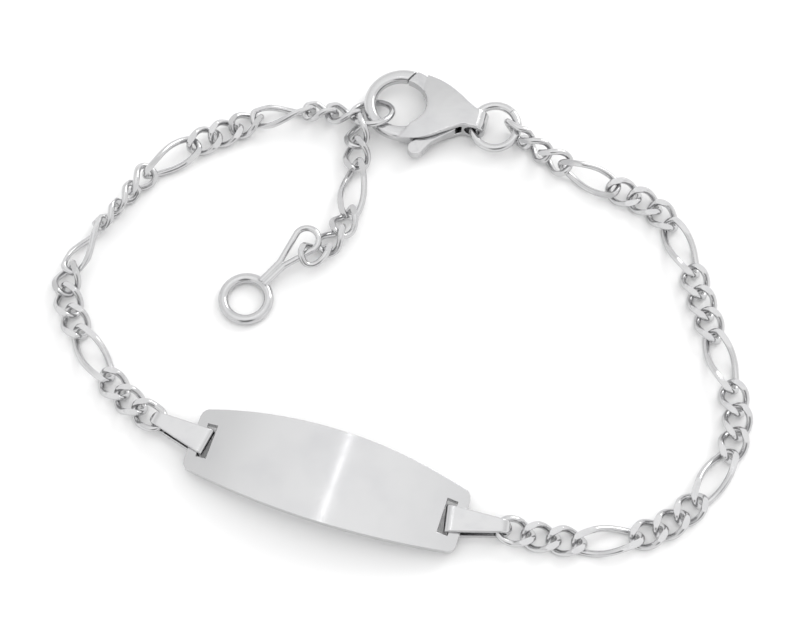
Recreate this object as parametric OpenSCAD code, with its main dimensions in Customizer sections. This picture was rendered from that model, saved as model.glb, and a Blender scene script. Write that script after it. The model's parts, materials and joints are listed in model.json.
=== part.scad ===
/* [Plate] */
// Length of the name plate along its bend
plate_len = 21; // [16:0.5:26]
// Width of the plate across its middle
plate_w = 7; // [5.5:0.1:9]
// Width of the plate at its two ends
plate_end_w = 4.6; // [4:0.1:5.4]
// Thickness of the plate
plate_t = 0.7; // [0.5:0.05:0.9]
// Height that the middle of the plate stands above its ends
plate_rise = 1.5; // [1:0.1:1.8]
// Radius of the plate's four corners in plan
plate_corner_r = 0.7; // [0.3:0.05:1]
// Width of the bar between each slot and the end of the plate
end_bar_w = 0.8; // [0.6:0.05:1]

/* [Bails] */
// Length of each folded bail
bail_len = 4.95; // [4.2:0.05:6]
// Width of a bail where it passes through the plate
bail_wide_w = 2.1; // [1.8:0.05:2.6]
// Width of a bail at its rounded chain end
bail_narrow_w = 0.95; // [0.85:0.05:1.05]
// Thickness of the strap that a bail is folded from
bail_strap_t = 0.36; // [0.25:0.01:0.42]
// Space left in a bail above and below the plate's end bar
bail_play = 0.09; // [0.06:0.01:0.2]
// Corner radius of the fold that passes through the plate
bail_fold_r = 0.45; // [0.3:0.05:0.6]

/* [Chain] */
// Diameter of the link wire
wire_d = 0.5; // [0.42:0.01:0.54]
// Outside width of every link
link_w = 2.32; // [2.2:0.01:2.6]
// Inside length of a short link
short_inner = 2.06; // [1.98:0.01:2.3]
// Inside length of a long link
long_inner = 4.42; // [3.8:0.02:5.2]
// Short links between two long ones
shorts_per_long = 3; // [2:1:5]
// Free play of each link on the next one
link_slack = 0.16; // [0.12:0.01:0.22]
// Turn of a link's end out of its middle plane, in degrees
link_twist = 50; // [44:1:56]
// Thickness that the chain is ground flat to
chain_t = 1.14; // [1.05:0.01:1.3]

/* [Clasp] */
// Radius of the round opening in the hook
hook_hole_r = 2.05; // [1.8:0.05:2.3]
// Radius of the hook's round outer edge
hook_outer_r = 3.2; // [3.1:0.01:3.3]
// Shift of the outer edge towards the tail, which makes the hook slimmer at its far side
hook_shift = 0.2; // [0.1:0.01:0.26]
// Thickness of the hook
hook_t = 0.92; // [0.8:0.02:1]
// Thickness of the clasp's hollow body
clasp_t = 2.1; // [2:0.05:2.4]
// Distance from the middle of the hook to the eye in the tail
tail_reach = 6.1; // [5.8:0.05:7]
// Length of the tail's eye across the clasp
tail_w = 1.7; // [1.3:0.05:1.8]
// Diameter of the tail's eye
eye_bore_d = 1.24; // [1.16:0.02:1.4]
// Thickness of the body's front and back walls
clasp_wall = 0.56; // [0.5:0.02:0.6]
// Gap between the lever and each wall
lever_gap = 0.08; // [0.05:0.01:0.15]
// Diameter of the rivet that the lever turns on
rivet_d = 0.6; // [0.5:0.05:0.7]
// Radial play of the lever on its rivet
rivet_play = 0.03; // [0.02:0.01:0.05]
// Radius of the round thumb tab
thumb_r = 0.6; // [0.5:0.02:0.66]

/* [Rings] */
// Outside diameter of the jump ring in the clasp's tail
jump_ring_od = 4.3; // [4.1:0.05:4.8]
// Wire of the jump ring
jump_ring_wire = 0.66; // [0.55:0.01:0.7]
// Outside diameter of the shorter-length ring
length_ring_od = 3.78; // [3.7:0.01:4]
// Wire of the shorter-length ring
length_ring_wire = 0.5; // [0.45:0.01:0.52]
// Outside diameter of the end ring
end_ring_od = 4.3; // [3.8:0.05:5]
// Wire of the end ring
end_ring_wire = 0.8; // [0.6:0.02:0.9]
// Wire of the tear-shaped link on the end ring
tear_wire = 0.52; // [0.42:0.02:0.56]
// Width of the tear-shaped link over its round loop
tear_w = 2.4; // [2.3:0.05:2.6]
// Length of the tear-shaped link from its loop to the end ring
tear_len = 6; // [5.4:0.1:6.6]

/* [Layout] */
// Turn of the plate in plan, in degrees
plate_turn = -18; // [-24:1:-12]
// Turn of the left bail in plan, in degrees
left_bail_turn = 154; // [150:1:160]
// Turn of the right bail in plan, in degrees
right_bail_turn = -8; // [-14:1:-2]
// Turn of the clasp in plan, in degrees
clasp_turn = -14.5; // [-18:0.5:-11]
// Turn of the tear-shaped link and the end ring in plan, in degrees
end_ring_turn = 224; // [218:1:228]

/* [Hidden] */
$fn = 64;

// How far joined shapes run into each other, and how far a cutting shape runs past what it cuts
overlap = 0.02;
cut_over = 1;

// Middle of the laid-out bracelet, which becomes the origin in plan
plan_middle = [-0.285, 1.414];

// Round points in plan that each chain is laid through: x, y, roll in degrees, lift off its rest
right_route = [
    [10.2, -17.3, 0, 0.05], [14.8, -17.7, 0, 0], [19.7, -16.3, 0, 0], [23.5, -12.5, 0, 0],
    [25.3, -8.3, 0, 0], [24.4, -3.6, 0, 0], [23.2, 1.4, 0, 0], [22, 6.4, 0, 0], [20, 9.4, -2, 0],
    [18.3, 10.3, -12, 0], [16.6, 11, -29, 0], [14.5, 12, -50, 0], [12.1, 13.4, -71, 0], [10.4, 14.8, -89, 0]];
left_route = [
    [-20.7, -6.6, 0, 0.05], [-23.8, -2.6, 0, 0], [-25.8, 1.9, -10, 0], [-25.5, 4, -28, 0],
    [-24.2, 6.6, -50, 0], [-22.1, 9.3, -73, 0], [-21, 10.8, -95, 0], [-19.8, 12.3, -117, 0],
    [-17.2, 14.3, -139, 0], [-14.6, 15.7, -161, 0], [-12.9, 16.6, -182, 0], [-11.2, 17.3, -202, 0],
    [-8.8, 17.7, -216, 0], [-7.2, 17.8, -220, 0], [-5.5, 17.5, -221, 0.2]];
extension_route = [[-3.5, 14.9, 37, 0.25], [-3.4, 13.1, 19, 0], [-4, 8.9, 12, 0], [-4.65, 7.1, 29, 0.15],
                   [-5.86, 5.69, 26, 0.02]];

// Middle of the plate, of the hook's opening and of the end ring, in the same plan
plate_place = [-5.4, -13.1];
hook_place = [0.1, 18.35];
end_ring_place = [-11.9, 1.6];

// Route helpers: a smooth curve through points, its running length and a place along it
function blend4(a, b, c, d, t) =
    0.5 * (2 * b + (c - a) * t + (2 * a - 5 * b + 4 * c - d) * t * t + (3 * b - a - 3 * c + d) * t * t * t);
function smooth_route(p, steps = 10) = [
    for (i = [0:len(p) - 2], k = [0:steps - 1])
        blend4(p[max(i - 1, 0)], p[i], p[i + 1], p[min(i + 2, len(p) - 1)], k / steps),
    p[len(p) - 1]];
function place_of(q) = [q.x, q.y, q.z];
function running_lengths(p) = [
    for (i = 0, s = 0; i < len(p);
         i = i + 1, s = i < len(p) ? s + norm(place_of(p[i]) - place_of(p[i - 1])) : s) s];
function along(p, run, s) = [for (c = [0:3]) lookup(s, [for (i = [0:len(p) - 1]) [run[i], p[i][c]]])];
function unit(v) = v / norm(v);
function turned(v, a) = [v.x * cos(a) - v.y * sin(a), v.x * sin(a) + v.y * cos(a)];

// Link pattern: every so many short links, one long one
function is_long(i) = i % (shorts_per_long + 1) == shorts_per_long;
function inner_of(i) = is_long(i) ? long_inner : short_inner;
function reach_of(i) = inner_of(i) - link_slack;
function reach_sum(n) = n <= 0 ? 0 : reach_sum(n - 1) + reach_of(n - 1);
function link_count(length, skip, n = 0) =
    reach_sum(n + skip) + reach_of(n + skip) / 2 > length + reach_sum(skip)
        ? n : link_count(length, skip, n + 1);

// One link: the middle line of its wire at an angle round it, turned out of flat towards both ends
floor_gap = 0.01;
link_sections = 16;
wire_sides = 6;
link_roundness = 0.8;
rim_share = 0.7;
line_step = 2;
function power_share(c, e) = sign(c) * pow(abs(c), e);
function ease_out(c) = sign(c) * (1 - (1 - abs(c)) * (1 - abs(c)));
function twist_share(u) = 0.5 * u + 0.5 * sin(90 * u);
function twist_at(u, back, front) = u < 0 ? -back * twist_share(u) : -front * twist_share(u);
function link_line(t, inner, back, front) =
    let (half = (inner + wire_d) / 2,
         end_half = (short_inner + wire_d) / 2,
         x = end_half * power_share(cos(t), link_roundness) + (half - end_half) * ease_out(cos(t)),
         w = (link_w - wire_d) / 2 * power_share(sin(t), link_roundness),
         a = twist_at(x / half, back, front))
    [x, w * cos(a), w * sin(a)];
function ground_flat(v) = [v.x, v.y, max(-chain_t / 2, min(chain_t / 2, v.z))];
function link_ring(t, inner, back, front) =
    let (c = link_line(t, inner, back, front),
         dir = unit(link_line(t + line_step, inner, back, front)
                    - link_line(t - line_step, inner, back, front)),
         rim_turn = twist_at(sign(c.x) * rim_share, back, front),
         rough = [cos(t), sin(t) * cos(rim_turn), sin(t) * sin(rim_turn)],
         out = unit(rough - (rough * dir) * dir),
         side = cross(dir, out))
    [for (m = [0:wire_sides - 1])
        ground_flat(c + wire_d / 2 * (cos(360 * m / wire_sides) * out + sin(360 * m / wire_sides) * side))];

// Height of a flat-lying link's middle above the surface when it is rolled
function link_points(inner, back, front) =
    [for (k = [0:link_sections - 1]) each link_ring(360 * (k + 0.5) / link_sections, inner, back, front)];
level_link = link_points(short_inner, link_twist, link_twist);
function rest_height(roll) = floor_gap - min([for (v = level_link) v.y * sin(roll) + v.z * cos(roll)]);
function raised(route) = [for (p = route) [p.x, p.y, rest_height(p[2]) + p[3], p[2]]];

// Puts a link's point in its place: middle of the link, its direction and its roll
function set_down(v, middle, dir, roll) =
    let (left = unit(cross([0, 0, 1], dir)),
         up = cross(dir, left))
    middle + v.x * dir + (v.y * cos(roll) - v.z * sin(roll)) * left
    + (v.y * sin(roll) + v.z * cos(roll)) * up;

// The two flat triangles of a four-sided facet
function halves(a, b, c, d) = [[a, b, c], [a, c, d]];

module ring_of_wire(rings) {
    n = len(rings);
    m = len(rings[0]);
    polyhedron(
        points = [for (r = rings, p = r) p],
        faces = [for (i = [0:n - 1], k = [0:m - 1])
            each halves(i * m + k, ((i + 1) % n) * m + k,
                        ((i + 1) % n) * m + (k + 1) % m, i * m + (k + 1) % m)],
        convexity = 6);
}

module link(middle, dir, roll, inner, back, front) {
    laid = [for (v = link_points(inner, back, front)) set_down(v, middle, dir, roll)];
    sunk = min([for (v = laid) v.z]) - floor_gap;
    translate([0, 0, max(0, -sunk)])
        ring_of_wire([for (k = [0:link_sections - 1])
            [for (m = [0:wire_sides - 1]) laid[k * wire_sides + m]]]);
}

// A chain laid along a route; its outermost ends may be less twisted, to sit in a bail or a ring
module chain(route, skip, first_twist, last_twist) {
    p = smooth_route(route);
    run = running_lengths(p);
    length = run[len(run) - 1];
    n = link_count(length, skip);
    done = reach_sum(skip);
    fit = length / (reach_sum(n + skip) - done);
    for (i = [0:n - 1]) {
        from = fit * (reach_sum(i + skip) - done);
        to = fit * (reach_sum(i + skip + 1) - done);
        a = along(p, run, from);
        b = along(p, run, to);
        mid = along(p, run, (from + to) / 2);
        link((place_of(a) + place_of(b)) / 2, unit(place_of(b) - place_of(a)), mid[3], inner_of(i + skip),
             i == 0 ? first_twist : link_twist, i == n - 1 ? last_twist : link_twist);
    }
}

// Plate: bend radius, slots and ends follow from the sizes above
slot_play = 0.25;
slot_side_play = 0.1;
bail_rest_gap = 0.04;
bend_r = (plate_len * plate_len / 4 + plate_rise * plate_rise) / (2 * plate_rise);
end_slope = asin(plate_len / 2 / bend_r);
slot_len = bail_strap_t + plate_t * sin(end_slope) + slot_play;
bail_back = end_bar_w / 2 + (slot_len + bail_strap_t) / 2;
bail_swing = max(abs(left_bail_turn - 180 - plate_turn), abs(right_bail_turn - plate_turn));
slot_w = bail_wide_w + 2 * bail_back * sin(bail_swing) + 2 * slot_side_play;
plate_foot = bail_strap_t + bail_play + bail_rest_gap;
bail_h = plate_foot + end_bar_w * sin(end_slope) + plate_t + bail_play + bail_strap_t;
barrel_r = (plate_len * plate_len / 4 + pow((plate_w - plate_end_w) / 2, 2)) / (plate_w - plate_end_w);

function plate_point(x, y, z) =
    let (q = turned([x, y], plate_turn)) [plate_place.x + q.x, plate_place.y + q.y, z];

module to_origin() translate([-plan_middle.x, -plan_middle.y, 0]) children();
module on_plate() translate([plate_place.x, plate_place.y, 0]) rotate([0, 0, plate_turn]) children();

corner_steps = 6;
side_steps = 8;
function side_y(x) = plate_w / 2 - barrel_r + sqrt(barrel_r * barrel_r - x * x);
plate_quarter = concat(
    [for (i = [0:side_steps])
        let (x = (plate_len / 2 - plate_corner_r) * i / side_steps) [x, side_y(x)]],
    [for (i = [1:corner_steps])
        let (a = 90 * (1 - i / corner_steps))
        [plate_len / 2 - plate_corner_r * (1 - cos(a)),
         side_y(plate_len / 2 - plate_corner_r) - plate_corner_r * (1 - sin(a))]]);
function flipped(p, sx, sy) = [for (v = p) [v.x * sx, v.y * sy]];
function backwards(p) = [for (i = [len(p) - 1:-1:0]) p[i]];

module plate_outline()
    polygon(concat(plate_quarter, backwards(flipped(plate_quarter, 1, -1)),
                   flipped(plate_quarter, -1, -1), backwards(flipped(plate_quarter, -1, 1))));

module bent_sheet()
    translate([0, 0, plate_foot + plate_rise - bend_r])
        rotate([90, 0, 0])
            difference() {
                cylinder(h = plate_w + 2 * cut_over, r = bend_r + plate_t, center = true, $fn = 360);
                cylinder(h = plate_w + 4 * cut_over, r = bend_r, center = true, $fn = 360);
            }

module plate_slots()
    for (s = [-1, 1])
        translate([s * (plate_len / 2 - end_bar_w - slot_len / 2), 0, 0])
            square([slot_len, slot_w], center = true);

module id_plate() {
    color([0.86, 0.86, 0.87])
        to_origin() on_plate()
            intersection() {
                bent_sheet();
                linear_extrude(plate_foot + plate_rise + plate_t + cut_over)
                    difference() {
                        plate_outline();
                        plate_slots();
                    }
            }
}

// Bail, lying along +X from its fold in the plate's slot to its rounded chain end
least_fold_r = 0.06;
module bail_side(inset) {
    h = bail_h - 2 * inset;
    r = max(bail_fold_r - inset, least_fold_r);
    nose = bail_h / 2;
    translate([inset, inset]) {
        translate([r, 0]) square([bail_len - nose - inset - r, h]);
        translate([0, r]) square([r + overlap, h - 2 * r]);
        for (z = [r, h - r]) translate([r, z]) circle(r);
    }
    translate([bail_len - nose, bail_h / 2]) circle(bail_h / 2 - inset);
}

module bail_plan() {
    nose_r = bail_narrow_w / 2;
    polygon([[0, -bail_wide_w / 2], [bail_len - nose_r, -nose_r],
             [bail_len - nose_r, nose_r], [0, bail_wide_w / 2]]);
    translate([bail_len - nose_r, 0]) circle(nose_r);
}

module folded_bail()
    intersection() {
        rotate([90, 0, 0])
            linear_extrude(bail_wide_w + cut_over, center = true)
                difference() {
                    bail_side(0);
                    bail_side(bail_strap_t);
                }
        linear_extrude(bail_h + cut_over) bail_plan();
    }

// The middle of each end bar, about which its bail can turn
function bar_place(s) = plate_point(s * (plate_len / 2 - end_bar_w / 2), 0, 0);
function bail_reach(s, turn, d, z) =
    let (q = turned([d - bail_back, 0], turn)) [bar_place(s).x + q.x, bar_place(s).y + q.y, z];

module bail_at(s, turn)
    to_origin() translate(bar_place(s)) rotate([0, 0, turn]) translate([-bail_back, 0, 0]) folded_bail();

module bail_left() color([0.83, 0.83, 0.84]) bail_at(-1, left_bail_turn);
module bail_right() color([0.83, 0.83, 0.84]) bail_at(1, right_bail_turn);

// Clasp, in its own frame: the hook's opening at the origin and the tail along +X
mouth_at = [0.07 * hook_outer_r, 0.81 * hook_outer_r];
mouth_gap = 0.08;
arm_end = 307;
tail_drop = -0.15;
tail_half = tail_w / 2;
hook_edge_r = 0.42 * hook_t;
rivet_at = [0.745 * tail_reach, 0.033 * tail_reach];
rivet_hole_play = 0.02;
rivet_cover = 0.2;
mouth_r = norm(mouth_at - rivet_at);
lever_t = clasp_t - 2 * (clasp_wall + lever_gap);
function clasp_point(u, v, z) =
    let (q = turned([u, v], clasp_turn)) [hook_place.x + q.x, hook_place.y + q.y, z];

module on_clasp() translate([hook_place.x, hook_place.y, 0]) rotate([0, 0, clasp_turn]) children();

// Pie slice from one angle to another, for cutting rings into arms
slice_steps = 8;
module slice(from, to, r)
    polygon(concat([[0, 0]],
                   [for (i = [0:slice_steps])
                       let (a = from + (to - from) * i / slice_steps) r * [cos(a), sin(a)]]));

// Hook: a round-edged disc, less an opening with round lips
module hook_disc()
    translate([hook_shift, 0, clasp_t / 2])
        rotate_extrude() {
            translate([0, -hook_t / 2]) square([hook_outer_r - hook_edge_r, hook_t]);
            translate([0, hook_edge_r - hook_t / 2]) square([hook_outer_r, hook_t - 2 * hook_edge_r]);
            for (s = [-1, 1])
                translate([hook_outer_r - hook_edge_r, s * (hook_t / 2 - hook_edge_r)])
                    circle(hook_edge_r, $fn = 32);
        }

module hook_opening(top, r)
    translate([0, 0, clasp_t / 2])
        rotate_extrude() {
            translate([0, -clasp_t]) square([hook_hole_r, 2 * clasp_t]);
            for (s = [-1, 1])
                difference() {
                    translate([hook_hole_r - overlap, s > 0 ? top - r : -clasp_t])
                        square([r + overlap, clasp_t - top + r]);
                    translate([hook_hole_r + r, s * (top - r)]) circle(r, $fn = 32);
                }
        }

// Tail's side of the cut between hook and lever, an arc round the rivet so that the tip swings clear
module past_mouth(gap)
    intersection() {
        translate(rivet_at) circle(mouth_r - gap, $fn = 180);
        translate([-hook_outer_r, 0]) square([3 * hook_outer_r, 2 * hook_outer_r]);
    }

module hook_arm()
    difference() {
        intersection() {
            hook_disc();
            linear_extrude(2 * clasp_t)
                difference() {
                    slice(0, arm_end, 2 * hook_outer_r);
                    past_mouth(0);
                }
        }
        hook_opening(hook_t / 2, hook_edge_r);
    }

// Body seen from its face: smooth edges from the hook to the tail
body_edge_u = 0.465 * hook_outer_r;
body_top = smooth_route([
    [body_edge_u, 0.92 * hook_outer_r], [0.41 * tail_reach, 0.84 * hook_outer_r],
    [0.565 * tail_reach, 0.72 * hook_outer_r], [0.72 * tail_reach, 0.55 * hook_outer_r],
    [0.87 * tail_reach, 0.355 * hook_outer_r], [tail_reach, tail_drop + tail_half - overlap]], 4);
body_foot = smooth_route([
    [tail_reach, tail_drop - tail_half + overlap], [0.865 * tail_reach, -0.322 * hook_outer_r],
    [0.667 * tail_reach, -0.565 * hook_outer_r], [0.495 * tail_reach, -0.79 * hook_outer_r],
    [0.374 * tail_reach, -0.9 * hook_outer_r], [body_edge_u, -0.955 * hook_outer_r],
    [0.17 * hook_outer_r, -0.985 * hook_outer_r]], 4);
module body_face() polygon(concat(body_top, body_foot, [[body_edge_u, -hook_hole_r / 2]]));

// The part of the face that lies under its upper edge's wall
edge_wall = 0.46;
module under_top_wall(gap)
    polygon(concat([for (p = body_top) [p.x, p.y - edge_wall - gap]],
                   [[tail_reach, -tail_reach], [body_edge_u, -tail_reach]]));

// Bulge of the body: the same round cap on both faces, lowest where the edges meet the hook
bulge_at = 0.85 * tail_reach;
bulge_r = 4.2 * tail_reach;
module bulge()
    intersection_for (z = [clasp_t - bulge_r, bulge_r])
        translate([bulge_at, 0, z]) sphere(bulge_r, $fn = 120);

// Round lip of the body where it meets the hook's opening
lip_r = 0.32;
lip_top = 0.88 * clasp_t / 2;

// Hollow that holds the lever, open towards the hook and along the lower edge
wall_start_u = 0.6 * hook_outer_r;
room_start_u = body_edge_u + 0.3;
room_end_u = tail_reach - 0.81 * clasp_t / 2;
room_foot_v = -1;
module lever_room()
    translate([0, 0, clasp_wall])
        linear_extrude(clasp_t - 2 * clasp_wall)
            intersection() {
                union() {
                    under_top_wall(0);
                    translate([0, -overlap]) square([wall_start_u, 2 * hook_outer_r]);
                }
                polygon([[0, 2 * hook_outer_r], [room_end_u, 2 * hook_outer_r],
                         [room_end_u, -2 * hook_outer_r], [room_start_u, -2 * hook_outer_r],
                         [room_start_u, room_foot_v], [0, room_foot_v]]);
            }

module across_tail(length, d)
    translate([tail_reach, tail_drop, clasp_t / 2])
        rotate([90, 0, 0]) cylinder(h = length, d = d, center = true);

module clasp_body() {
    color([0.84, 0.84, 0.85])
        to_origin() on_clasp()
            difference() {
                union() {
                    hook_arm();
                    difference() {
                        union() {
                            intersection() {
                                linear_extrude(clasp_t) body_face();
                                bulge();
                            }
                            across_tail(tail_w, clasp_t - 2 * overlap);
                        }
                        lever_room();
                        hook_opening(lip_top, lip_r);
                    }
                }
                across_tail(2 * tail_w, eye_bore_d);
                translate([rivet_at.x, rivet_at.y, -cut_over])
                    cylinder(h = clasp_t + cut_over - rivet_cover, d = rivet_d + 2 * rivet_hole_play);
            }
}

module clasp_rivet() {
    color([0.8, 0.8, 0.81])
        to_origin() on_clasp()
            translate([rivet_at.x, rivet_at.y, overlap])
                cylinder(h = clasp_t - rivet_cover - rivet_hole_play - overlap, d = rivet_d);
}

// Lever: gate arm to the mouth, boss on the rivet and thumb tab, cut from one strip
boss_wall = 0.32;
boss_r = rivet_d / 2 + boss_wall;
thumb_at = [0.65 * hook_outer_r, -1.15 * hook_outer_r];
gate_from = 16;
gate_to = 100;
gate_hole_play = 0.04;
wall_end_gap = 0.05;
gate_root = [
    [0.7 * hook_outer_r, 0.75], [1.05 * hook_outer_r, 0.5], [rivet_at.x, rivet_at.y - boss_r],
    rivet_at + [boss_r, 0], rivet_at + [0.3, 0.9], [0.75 * hook_outer_r, 2.4]];
thumb_arm = [
    rivet_at + [boss_r - 0.1, -0.25], rivet_at + [-0.4, -0.1], thumb_at + [-0.35, thumb_r - 0.12],
    thumb_at, thumb_at + [0.45, 2 * thumb_r - 1.6], thumb_at + [1.1, 0.8],
    rivet_at + [boss_r - 0.38, -0.48 * hook_outer_r]];
module gate_arc()
    difference() {
        intersection() {
            translate([hook_shift, 0]) circle(hook_outer_r - lever_gap);
            slice(gate_from, gate_to, 2 * hook_outer_r);
            past_mouth(mouth_gap);
        }
        circle(hook_hole_r + gate_hole_play);
    }
module lever_outline()
    difference() {
        union() {
            intersection() {
                union() {
                    gate_arc();
                    polygon(gate_root);
                }
                union() {
                    under_top_wall(lever_gap);
                    square([wall_start_u - wall_end_gap, 2 * hook_outer_r]);
                }
            }
            translate(rivet_at) circle(boss_r);
            polygon(thumb_arm);
            translate(thumb_at) circle(thumb_r);
        }
        translate(rivet_at) circle(rivet_d / 2 + rivet_play);
    }

module clasp_gate() {
    color([0.8, 0.8, 0.82])
        to_origin() on_clasp()
            translate([0, 0, clasp_wall + lever_gap])
                linear_extrude(lever_t) lever_outline();
}

module torus(od, wire, seam = 0)
    rotate([0, 0, seam]) rotate_extrude(angle = 360 - 2 * seam)
        translate([(od - wire) / 2, 0]) circle(wire / 2, $fn = 32);

// Jump ring through the tail's eye, leaning a little, with its sawn seam
jump_lean = 8;
jump_lift = 4;
jump_seam_angle = 54;
jump_seam = 1.1;
jump_in_eye = 0.1;
jump_mid_r = (jump_ring_od - jump_ring_wire) / 2;
jump_middle = [tail_reach - jump_in_eye + jump_mid_r * cos(jump_lift), tail_drop,
               clasp_t / 2 + jump_mid_r * sin(jump_lift)];
module clasp_jump_ring() {
    color([0.82, 0.82, 0.83])
        to_origin() on_clasp()
            translate(jump_middle) rotate([jump_lean, -jump_lift, 0]) rotate([0, 0, jump_seam_angle])
                torus(jump_ring_od, jump_ring_wire, jump_seam);
}

// Length ring round the hook's arm: one side on the surface under the arm, the other side over it
length_ring_tilt = 29.5;
length_ring_heading = -79;
length_ring_shift = [-2.34, -0.77];
length_mid_r = (length_ring_od - length_ring_wire) / 2;
length_ring_middle = [hook_place.x + length_ring_shift.x, hook_place.y + length_ring_shift.y,
                      length_ring_wire / 2 + floor_gap + length_mid_r * sin(length_ring_tilt)];
module length_ring() {
    color([0.82, 0.82, 0.83])
        to_origin()
            translate(length_ring_middle)
                rotate([0, 0, length_ring_heading]) rotate([0, -length_ring_tilt, 0])
                    torus(length_ring_od, length_ring_wire);
}
// A point in the ring's own plane: its angle from the raised side and its distance from the middle
function length_ring_point(a, r) =
    let (q = turned([r * cos(a) * cos(length_ring_tilt), r * sin(a)], length_ring_heading))
    length_ring_middle + [q.x, q.y, r * cos(a) * sin(length_ring_tilt)];

// End ring with the tear-shaped link soldered to it
tear_lift = 9.65;
tear_twist = 5;
tear_mid_r = (tear_w - tear_wire) / 2;
tear_start = tear_len + end_ring_od / 2 - end_ring_wire / 2;
module on_end_ring() translate([end_ring_place.x, end_ring_place.y, end_ring_wire / 2])
    rotate([0, 0, end_ring_turn]) children();

// Middle line of half the tear-shaped link: from its round tip, round the loop and down to the solder
tear_bend_steps = 9;
neck_at = 0.65 * tear_len;
neck_half = 0.44 * tear_wire;
solder_half = 0.4 * tear_wire;
function tear_tangent() = acos(tear_mid_r / norm([neck_at - tear_mid_r - tear_wire / 2, 0]));
tear_line = concat(
    [for (i = [0:tear_bend_steps])
        let (a = 180 - (180 - tear_tangent()) * i / tear_bend_steps)
        [tear_mid_r + tear_wire / 2 + tear_mid_r * cos(a), tear_mid_r * sin(a)]],
    [[neck_at, neck_half], [tear_len, solder_half]]);
tear_sides = 8;
function line_dir(p, i) = i == 0 ? [0, 1] : i == len(p) - 1 ? unit(p[i] - p[i - 1])
    : unit(unit(p[i + 1] - p[i]) + unit(p[i] - p[i - 1]));
module half_tear() {
    rings = [for (i = [0:len(tear_line) - 1])
        let (d = line_dir(tear_line, i))
        [for (m = [0:tear_sides - 1])
            let (a = 360 * (m + 0.5) / tear_sides)
            [tear_line[i].x - d.y * cos(a) * tear_wire / 2, tear_line[i].y + d.x * cos(a) * tear_wire / 2,
             sin(a) * tear_wire / 2]]];
    n = len(rings);
    polyhedron(
        points = [for (r = rings, p = r) p],
        faces = concat(
            [[for (m = [0:tear_sides - 1]) m]],
            [[for (m = [tear_sides - 1:-1:0]) (n - 1) * tear_sides + m]],
            [for (i = [0:n - 2], k = [0:tear_sides - 1])
                each halves(i * tear_sides + k, (i + 1) * tear_sides + k,
                            (i + 1) * tear_sides + (k + 1) % tear_sides,
                            i * tear_sides + (k + 1) % tear_sides)]),
        convexity = 4);
}

module end_ring() {
    color([0.82, 0.82, 0.83])
        to_origin() on_end_ring() {
            torus(end_ring_od, end_ring_wire);
            rotate([0, tear_lift, 0]) rotate([-tear_twist, 0, 0])
                translate([-tear_start, 0, 0])
                    for (s = [1, -1]) scale([1, s, 1]) half_tear();
        }
}

// Where the chains take hold, and the lesser twist of the links that lie in a bail or the jump ring
bail_link_twist = 6;
jump_link_twist = 10;
bail_hold_back = 0.27;
bail_hold = bail_len - bail_strap_t - bail_hold_back;
right_start = bail_reach(1, right_bail_turn, bail_hold, bail_h / 2);
left_start = bail_reach(-1, left_bail_turn, bail_hold, bail_h / 2);
jump_hold_depth = 0.26;
jump_hold_angle = 20;
jump_hold_lift = 0.08;
jump_hold_r = jump_mid_r - jump_ring_wire / 2 - jump_hold_depth;
jump_hold = clasp_point(jump_middle.x + jump_hold_r * cos(jump_hold_angle),
                        jump_middle.y + jump_hold_r * sin(jump_hold_angle), jump_middle.z + jump_hold_lift);
left_hold_angle = -100;
extension_hold_angle = -53;
length_hold_r = length_mid_r - length_ring_wire / 2;
left_hold = length_ring_point(left_hold_angle, length_hold_r);
extension_hold = length_ring_point(extension_hold_angle, length_hold_r);
tear_hold_in = 2.3;
tear_hold_aside = 1;
tear_hold_z = 1.54;
tear_hold = let (q = turned([tear_hold_in - tear_start, tear_hold_aside], end_ring_turn))
    [end_ring_place.x + q.x, end_ring_place.y + q.y, tear_hold_z];
function route_point(p, roll) = [p.x, p.y, p.z, roll];

module chain_right() color([0.8, 0.8, 0.81]) to_origin()
    chain(concat([route_point(right_start, 0)], raised(right_route), [route_point(jump_hold, -100)]),
          0, bail_link_twist, jump_link_twist);
module chain_left() color([0.8, 0.8, 0.81]) to_origin()
    chain(concat([route_point(left_start, 0)], raised(left_route), [route_point(left_hold, -214)]),
          0, bail_link_twist, link_twist);
module chain_extension() color([0.8, 0.8, 0.81]) to_origin()
    chain(concat([route_point(extension_hold, 57)], raised(extension_route), [route_point(tear_hold, 7)]),
          1, link_twist, link_twist);

id_plate();
bail_left();
bail_right();
chain_left();
chain_right();
chain_extension();
clasp_body();
clasp_rivet();
clasp_gate();
clasp_jump_ring();
length_ring();
end_ring();
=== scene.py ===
"""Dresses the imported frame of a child's silver identity bracelet.

The bracelet lies closed on a pale surface: a plain curved plate, two folded bails, a twisted
chain with long and short links on each side, a lobster clasp with its jump ring, a ring for a
shorter length and an extension that ends in an end ring. Every place and size is in metres, in
the frame's own axes.
"""

import json
import logging
import math
from dataclasses import dataclass, field
from enum import Enum

import bmesh
import bpy
import numpy as np
from mathutils import Matrix, Vector

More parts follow.
